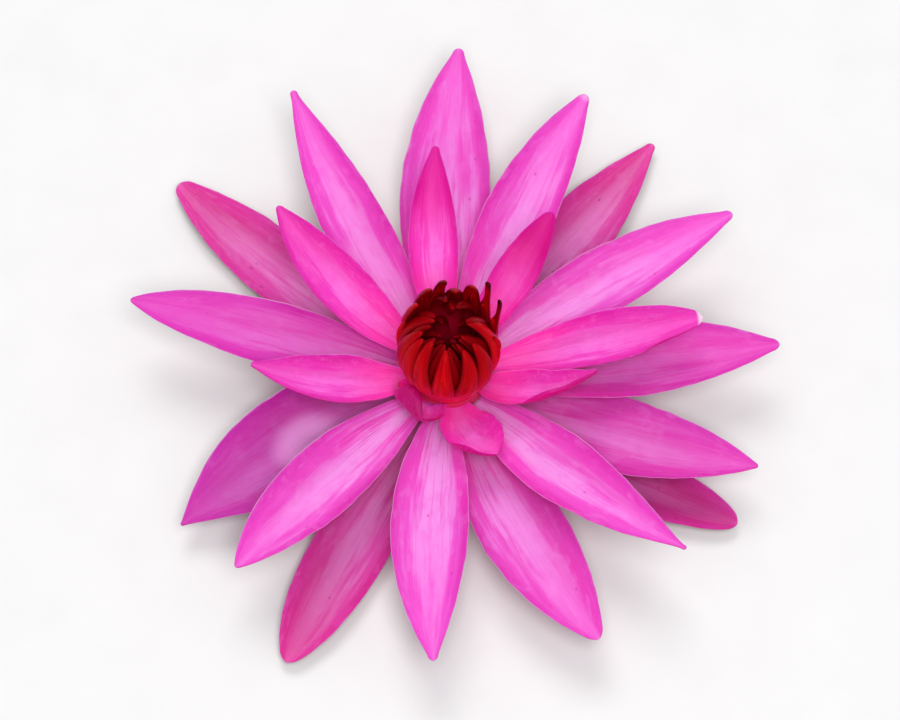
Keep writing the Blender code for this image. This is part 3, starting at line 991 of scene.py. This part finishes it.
def strap_section(share, course, wide, thick, drift, steep, height):
    """One ring of a strap, round its outer and its inner face."""
    radius = strap_radius(share, course) - STRAP_SINK * (1 - smooth_step(share / SINK_END))
    outer = []
    inner = []
    for index in range(-STRAP_COLUMNS, STRAP_COLUMNS + 1):
        side = sin(index / STRAP_COLUMNS * pi / 2)
        edge = sqrt(max(0.0, 1 - abs(side) ** STRAP_SHARPNESS))
        crown = STRAP_CROWN * wide * (1 - side * side) * smooth_step(share, *CROWN_ZONE)
        tuck = STRAP_TUCK * side * (1 - share)
        around = side * wide / 2 / radius + drift
        depths = (thick * edge + crown + tuck, crown * INNER_CROWN + tuck)
        for depth, points in zip(depths, (outer, inner)):
            reach = radius + depth * sin(steep)
            z = height - depth * cos(steep)
            point = (reach * cos(around), reach * sin(around), z)
            points.append((point, (share, (side + 1) / 2)))
    return outer + inner[-2:0:-1]


def make_strap(course, width, azimuth, tip_azimuth, top, slender, deep, number):
    """One stamen: a strap that swells out and curves in over the stigma."""
    rise = top - STRAP_FOOT
    rings = []
    for share in crowded(STRAP_ROWS, STRAP_CROWDING):
        gain = strap_radius(share + SLOPE_STEP, course) - strap_radius(share - SLOPE_STEP, course)
        steep = atan2(rise, gain / (2 * SLOPE_STEP))
        distance = rise * (1 - share) + STRAP_TIP_GAP
        wide = strap_width(share, width, slender)
        wide *= tip_cap(distance, 1.0, lerp(*STRAP_TIPS, slender))
        thick = STRAP_THICKNESS * (1 - STRAP_THINNING * share)
        thick *= tip_cap(distance, 1.0, STRAP_EDGE_TIP)
        drift = (tip_azimuth - azimuth) * share ** 2
        height = STRAP_FOOT + rise * share
        rings.append(strap_section(share, course, wide, thick, drift, steep, height))
    strap = loft(f"strap_{number}", rings, [0] * (4 * STRAP_COLUMNS))
    strap.rotation_euler = (0.0, 0.0, azimuth)
    mark(strap, blade=STRAP_SEED_STEP * number, dark=slender, deep=deep)
    return strap


def strap_distance(around, share):
    """0 on the middle of an outer strap, 1 halfway to its neighbour."""
    before = after = tau
    for azimuth, tip_azimuth, _, _, _ in OUTER_STRAPS:
        middle = radians(azimuth + (tip_azimuth - azimuth) * share ** 2)
        ahead = (middle - around) % tau
        after = min(after, ahead)
        before = min(before, tau - ahead)
    return 2 * min(before, after) / (before + after)


def make_fused_base(number):
    """The cup that the outer straps grow out of, grooved between them."""
    course = STRAP_WHORLS[0][1:4]
    rings = []
    for share, offset in FUSED_BASE:
        depth = GROOVE_DEPTH * smooth_step(share, *GROOVES)
        notch = NOTCH * smooth_step(share, *NOTCH_ZONE)
        ring = []
        for step in range(BASE_FACETS):
            around = tau * step / BASE_FACETS
            aside = strap_distance(around, share)
            here = share * (1 - notch * aside)
            radius = strap_radius(here, course) + offset
            if offset > 0:
                radius -= depth * aside ** 2
            height = STRAP_FOOT + (barrel_height(around) - STRAP_FOOT) * here
            point = (radius * cos(around), radius * sin(around), height)
            ring.append((point, (share, 0.5 + 0.5 * aside) if offset > 0 else (1.0, 1.0)))
        rings.append(ring)
    base = loft("fused_base", rings, [0] * BASE_FACETS, hollow=True)
    mark(base, blade=STRAP_SEED_STEP * number, dark=0.0, deep=0.0)
    return base


def turned(name, profile, facets, slot=0, hollow=False):
    """Closed solid of revolution from (radius, height) points."""
    rings = []
    for index, (radius, height) in enumerate(profile):
        rings.append(circle(radius, height, facets, index / len(profile)))
    return loft(name, rings, [slot] * facets, hollow)


def make_stamens():
    pieces = []
    _, root_radius, pull, _, _, width = STRAP_WHORLS[0]
    for azimuth, tip_azimuth, mouth, top, slender in OUTER_STRAPS:
        angles = (radians(azimuth), radians(tip_azimuth))
        course = (root_radius, pull, mouth)
        pieces.append(make_strap(course, width, *angles, top, slender, 0.0, len(pieces)))

    draw = random.Random(STRAP_SEED)
    for ring, whorl in enumerate(STRAP_WHORLS[1:]):
        count, root_radius, pull, mouth, height_share, width = whorl
        # deep: the painted shade of this whorl
        close, deep = INNER_WHORLS[ring]
        for index in range(count):
            azimuth = tau * (index + 0.5 * ring) / count
            azimuth += radians(draw.uniform(-TURN_SCATTER, TURN_SCATTER))
            tip = azimuth + radians(draw.uniform(-LEAN_SCATTER, LEAN_SCATTER))
            top = barrel_height(azimuth) * height_share - draw.uniform(0.0, 2 * TIP_SCATTER)
            opening = mouth + MOUTH_LEAN * sin(azimuth) - close
            opening += draw.uniform(-MOUTH_SCATTER, MOUTH_SCATTER)
            course = (root_radius, pull, max(INNER_MOUTH, opening))
            wide = width * draw.uniform(*WIDTH_SCATTER)
            slender = draw.uniform(*SLENDER_SCATTER)
            pieces.append(make_strap(course, wide, azimuth, tip, top, slender, deep, len(pieces)))

    pieces.append(make_fused_base(len(pieces)))
    profile = (
        (COLLAR_INNER, DRUM_TOP - 0.2), (COLLAR_OUTER - 0.4, DRUM_TOP - 0.2),
        (COLLAR_OUTER, DRUM_TOP + 0.4), (COLLAR_OUTER, COLLAR_TOP - 0.5),
        (COLLAR_OUTER - 0.5, COLLAR_TOP), (COLLAR_INNER + 0.4, COLLAR_TOP),
        (COLLAR_INNER, COLLAR_TOP - 0.4),
    )
    pieces.append(turned("collar", profile, COLLAR_FACETS, 1, hollow=True))
    stamens = join(pieces, "stamens_look")
    collar = fleshy_material(
        "stamen collar", srgb(160, 0, 24), srgb(196, 12, 48), (300.0, 2700.0), (0.34, 0.46),
        **RED_FLESH,
    )
    dress(stamens, "stamens", (stamen_material(), collar))


# ---- stigma and receptacle
STYLE_ROWS = 14
STYLE_FACETS = 12
STYLE_CROWDING = 0.7
STYLE_INSET = 1.6  # from the stigma's edge, in radii of a style
STYLE_LEAN = 1.5  # how far a style leans in, in its radii
STYLE_SINK = 1.2
STYLE_ROOT = 0.75  # radius of its root, over its head's
STYLE_SHARPNESS = 6  # of its rounded head
STYLE_END = 0.004  # keeps it from closing to a point
DISH_FACETS = 8 * STYLE_COUNT
RAY_HEIGHT = 0.16  # of the rays in the stigma's dish
RAY_SPAN = (1.6, 5.0)  # radii between which they run
RAY_FULL = 3.0  # radius at which they reach their height
DRUM_FACETS = 144
# Heights in metres where the drum turns rose going up, and where its pale cut
# shows going down
DRUM_ZONES = ((0.008, 0.0125, srgb(206, 26, 84)), (0.0006, 0.0001, srgb(226, 204, 150)))


def make_style(name, azimuth):
    """One carpel's style: a small club that curves in over the stigma."""
    ring = STIGMA_RADIUS - STYLE_INSET * STYLE_RADIUS
    base = STIGMA_RIM_TOP - STYLE_SINK
    rings = []
    for share in crowded(STYLE_ROWS, STYLE_CROWDING):
        head = sqrt(max(STYLE_END, 1 - share ** STYLE_SHARPNESS))
        girth = STYLE_RADIUS * lerp(STYLE_ROOT, 1.0, share) * head
        middle = ring - STYLE_LEAN * STYLE_RADIUS * share ** 2
        club = circle(girth, base + STYLE_HEIGHT * share, STYLE_FACETS, share)
        rings.append([((middle + x, y, z), uv) for (x, y, z), uv in club])
    style = loft(name, rings, [0] * STYLE_FACETS)
    style.rotation_euler = (0.0, 0.0, azimuth)
    return style


def make_stigma():
    """A rayed dish with a knob in its middle and a ring of styles."""
    rim = STIGMA_RIM_TOP
    floor = rim - STIGMA_DISH
    profile = (
        (0.02, rim), (0.6, rim - 0.08), (1.1, rim - 0.45), (1.4, floor + 0.5),
        (1.6, floor), (2.4, floor + 0.1), (3.24, floor + 0.4), (4.0, floor + 0.95),
        (4.6, rim), (5.1, rim + 0.02), (STIGMA_RADIUS, rim - 0.4), (STIGMA_RADIUS, DRUM_TOP - 0.2),
    )
    rings = []
    for index, (radius, height) in enumerate(profile):
        rayed = RAY_SPAN[0] < radius < RAY_SPAN[1]
        rays = RAY_HEIGHT * min(1.0, radius / RAY_FULL) * rayed
        ring = circle(radius, height, DISH_FACETS, index / len(profile))
        for step, ((x, y, z), uv) in enumerate(ring):
            around = tau * step / DISH_FACETS
            ring[step] = ((x, y, z + rays * cos(STYLE_COUNT * around)), uv)
        rings.append(ring)
    pieces = [loft("dish", rings[::-1], [0] * DISH_FACETS)]
    for index in range(STYLE_COUNT):
        pieces.append(make_style(f"style_{index}", tau * index / STYLE_COUNT))
    stigma = join(pieces, "stigma_look")
    # very dark red: the stigma's own red, darkened as painted shade deep inside the stamens
    flesh = fleshy_material(
        "stigma", srgb(58, 0, 8), srgb(108, 6, 14), (400.0, 3600.0), (0.39, 0.51), **RED_FLESH,
    )
    dress(stigma, "stigma", (flesh,))


def make_receptacle():
    """The drum that carries the whorls, rounded above and cut flat below."""
    stations = (
        (0.02, DRUM_TOP), (5.0, DRUM_TOP), (DRUM_RADIUS - 0.5, DRUM_TOP),
        (DRUM_RADIUS, DRUM_TOP - 0.5), (DRUM_RADIUS, 12.0), (DRUM_RADIUS, 9.5),
        (DRUM_RADIUS, 7.0), (DRUM_RADIUS, 4.5), (DRUM_RADIUS, DRUM_SHOULDER),
        (8.9, 1.7), (7.2, 1.0), (5.4, 0.52), (CUT_RADIUS, 0.0), (0.02, 0.0),
    )
    drum = turned("receptacle_look", stations[::-1], DRUM_FACETS)
    flesh = fleshy_material(
        "receptacle", srgb(150, 62, 78), srgb(128, 104, 66), (220.0, 1500.0), (0.44, 0.56),
        DRUM_ZONES, Subsurface_Radius=(1.0, 0.4, 0.4),
    )
    dress(drum, "receptacle", (flesh,))


# ---- floor, lights and camera, in metres
FLOOR_RADIUS = 3.0
FLOOR_FACETS = 96
SKY_COLOUR = (0.95, 0.96, 1.0, 1.0)
SKY_STRENGTH = 0.55
LIGHT_SIZE = 0.6
# name, place, power, colour
LIGHTS = (
    ("key", (-0.10, 0.60, 1.0), 4.7, (1.0, 0.98, 0.96)),
    ("fill", (0.10, -0.45, 1.15), 8.8, (0.99, 0.99, 1.0)),
)
AIM = Vector((0.0004, 0.0018, 0.0158))
CAMERA_DISTANCE = 0.9375
CAMERA_ELEVATION = 67.0
LENS = 150.0  # the lens and the sensor are in millimetres
SENSOR_WIDTH = 36.0


def floor_material():
    """Pale matte board with a faint grain."""
    graph = Graph("floor")
    grain = graph.noise(graph.place(), 60.0, 4.0)
    colour = graph.mix(grain, srgb(220, 219, 218), srgb(228, 227, 226))
    return graph.finish(colour, 0.8)


def look_at(obj, target):
    obj.rotation_euler = (target - obj.location).to_track_quat("-Z", "Y").to_euler()


def make_stage():
    bm = bmesh.new()
    bmesh.ops.create_circle(bm, cap_ends=True, segments=FLOOR_FACETS, radius=FLOOR_RADIUS)
    floor = add_mesh("floor", bm)
    floor.data.materials.append(floor_material())

    world = bpy.data.worlds.new("studio")
    bpy.context.scene.world = world
    world.use_nodes = True
    background = world.node_tree.nodes["Background"]
    background.inputs["Color"].default_value = SKY_COLOUR
    background.inputs["Strength"].default_value = SKY_STRENGTH
    for name, place, power, colour in LIGHTS:
        light = bpy.data.lights.new(name, "AREA")
        light.shape = "DISK"
        light.size = LIGHT_SIZE
        light.energy = power
        light.color = colour
        lamp = add_object(name, light)
        lamp.location = place
        look_at(lamp, AIM)


def make_camera():
    camera = bpy.data.cameras.new("camera")
    camera.lens = LENS
    camera.sensor_width = SENSOR_WIDTH
    obj = add_object("camera", camera)
    elevation = radians(CAMERA_ELEVATION)
    back = Vector((0.0, -cos(elevation), sin(elevation)))
    obj.location = AIM + CAMERA_DISTANCE * back
    look_at(obj, AIM)
    bpy.context.scene.camera = obj
    bpy.context.scene.view_settings.view_transform = "Standard"


def main():
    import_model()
    make_blades()
    make_stamens()
    make_stigma()
    make_receptacle()
    make_stage()
    make_camera()


main()
